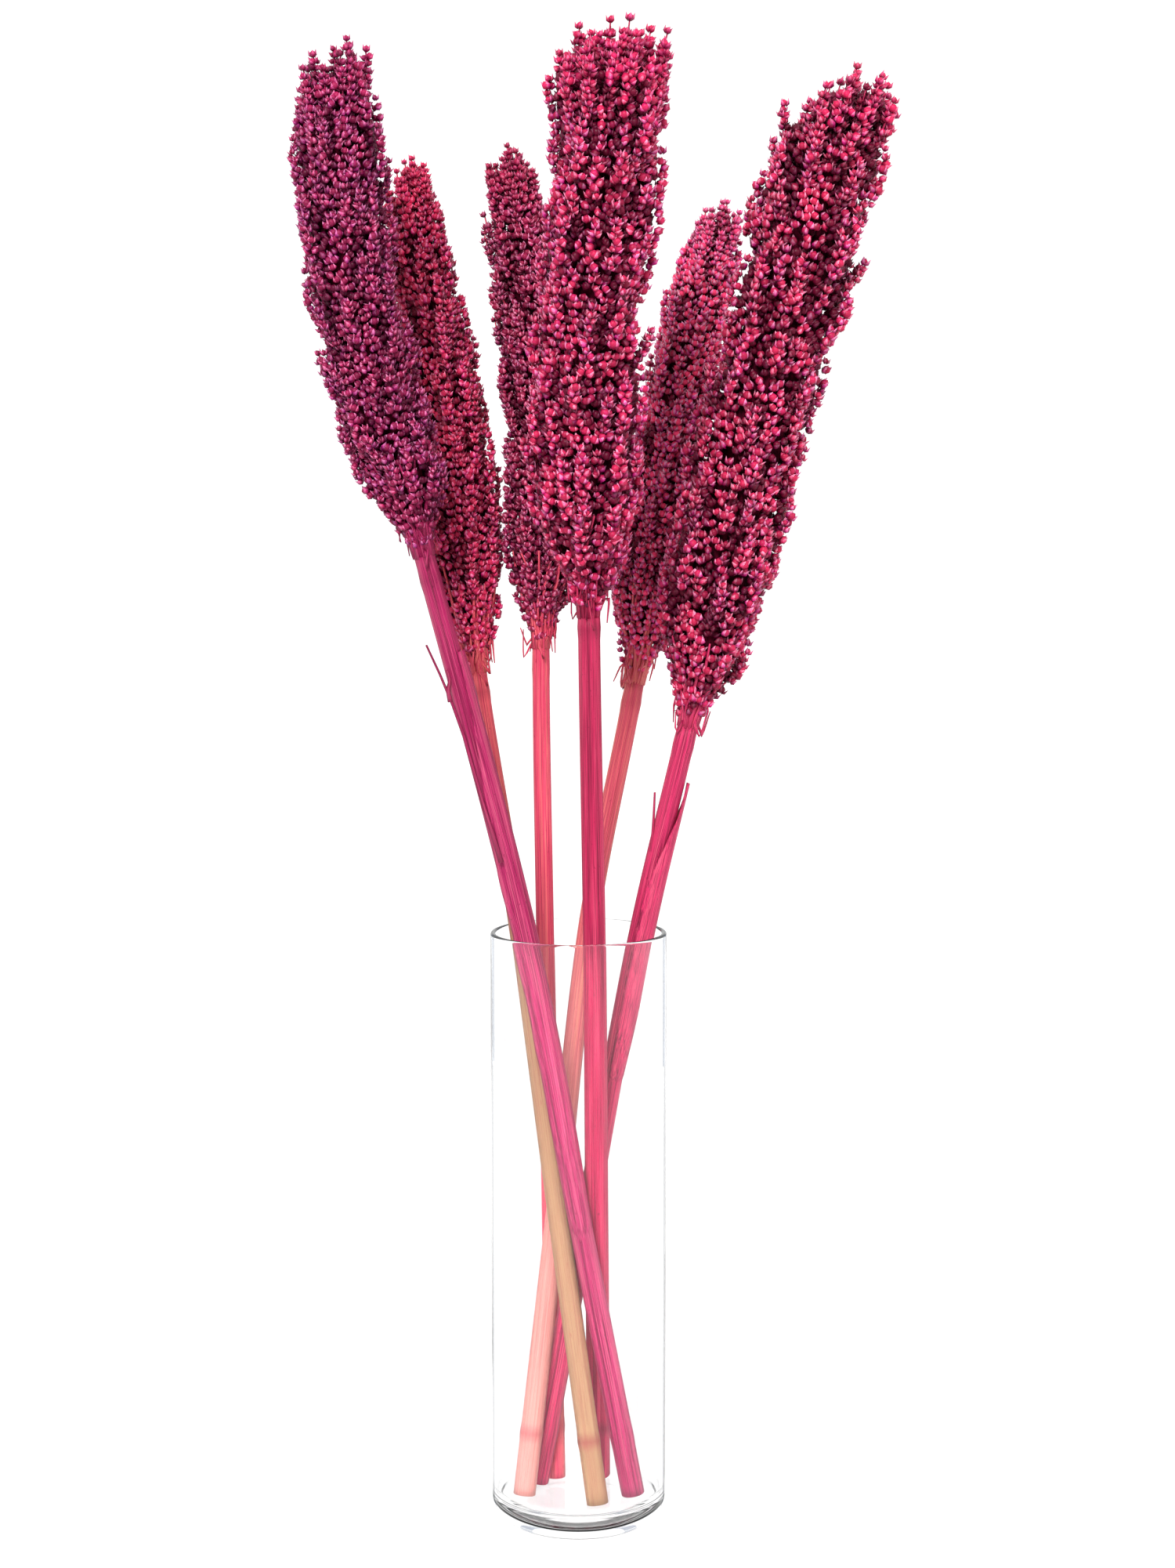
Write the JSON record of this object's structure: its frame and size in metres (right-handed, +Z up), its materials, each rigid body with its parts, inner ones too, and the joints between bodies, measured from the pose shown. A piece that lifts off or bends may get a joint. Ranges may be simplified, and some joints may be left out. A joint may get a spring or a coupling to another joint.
{
  "type": "sorghum seed heads in a glass vase",
  "caption": "Dried, dyed sorghum seed heads on long cut stems, leaning out of a tall clear glass cylinder vase as a free-standing display.",
  "frame": {"origin": "centre of the vase's flat foot, on the surface that it stands on", "axes": "+Z up along the vase's axis; the picture looks along +Y, with +X to its right"},
  "size_m": [0.3371, 0.2575, 0.8506],
  "materials": {
    "clear_glass": "gloss",
    "dyed_stem": "satin",
    "pale_stem": "satin",
    "leaf_sheath": "satin",
    "dyed_grain": "matte"
  },
  "bodies": {
    "root": {"vase": "clear_glass", "stem_front_left": "dyed_stem", "stem_back_left": "pale_stem", "stem_back_middle": "dyed_stem", "stem_front_middle": "dyed_stem", "stem_back_right": "pale_stem", "stem_front_right": "dyed_stem", "sheath_front_left": "leaf_sheath", "sheath_front_right": "leaf_sheath", "head_front_left": "dyed_grain", "head_back_left": "dyed_grain", "head_back_middle": "dyed_grain", "head_front_middle": "dyed_grain", "head_back_right": "dyed_grain", "head_front_right": "dyed_grain"}
  },
  "joints": []
}
